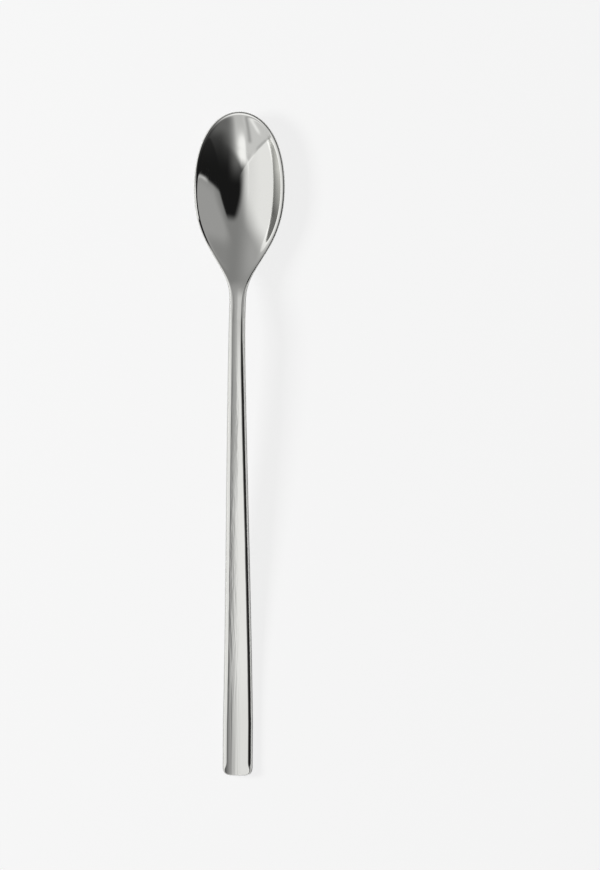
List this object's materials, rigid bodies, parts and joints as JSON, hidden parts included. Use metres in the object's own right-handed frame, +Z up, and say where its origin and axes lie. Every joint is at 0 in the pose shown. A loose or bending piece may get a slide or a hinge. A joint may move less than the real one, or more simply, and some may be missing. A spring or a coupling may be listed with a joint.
{
  "type": "long-handled teaspoon",
  "caption": "Long-handled teaspoon of polished stainless steel: an egg-shaped dished bowl on a slim neck, and a straight tapering handle with a square end.",
  "frame": {"origin": "on the table that the spoon lies on, under the middle of its length and width", "axes": "+Y along the spoon from the end of the handle to the tip of the bowl, +X across it, +Z up out of the hollow of the bowl"},
  "size_m": [0.0274, 0.2, 0.0134],
  "materials": {
    "polished_steel": "polished"
  },
  "bodies": {
    "root": {"spoon": "polished_steel"}
  },
  "joints": []
}
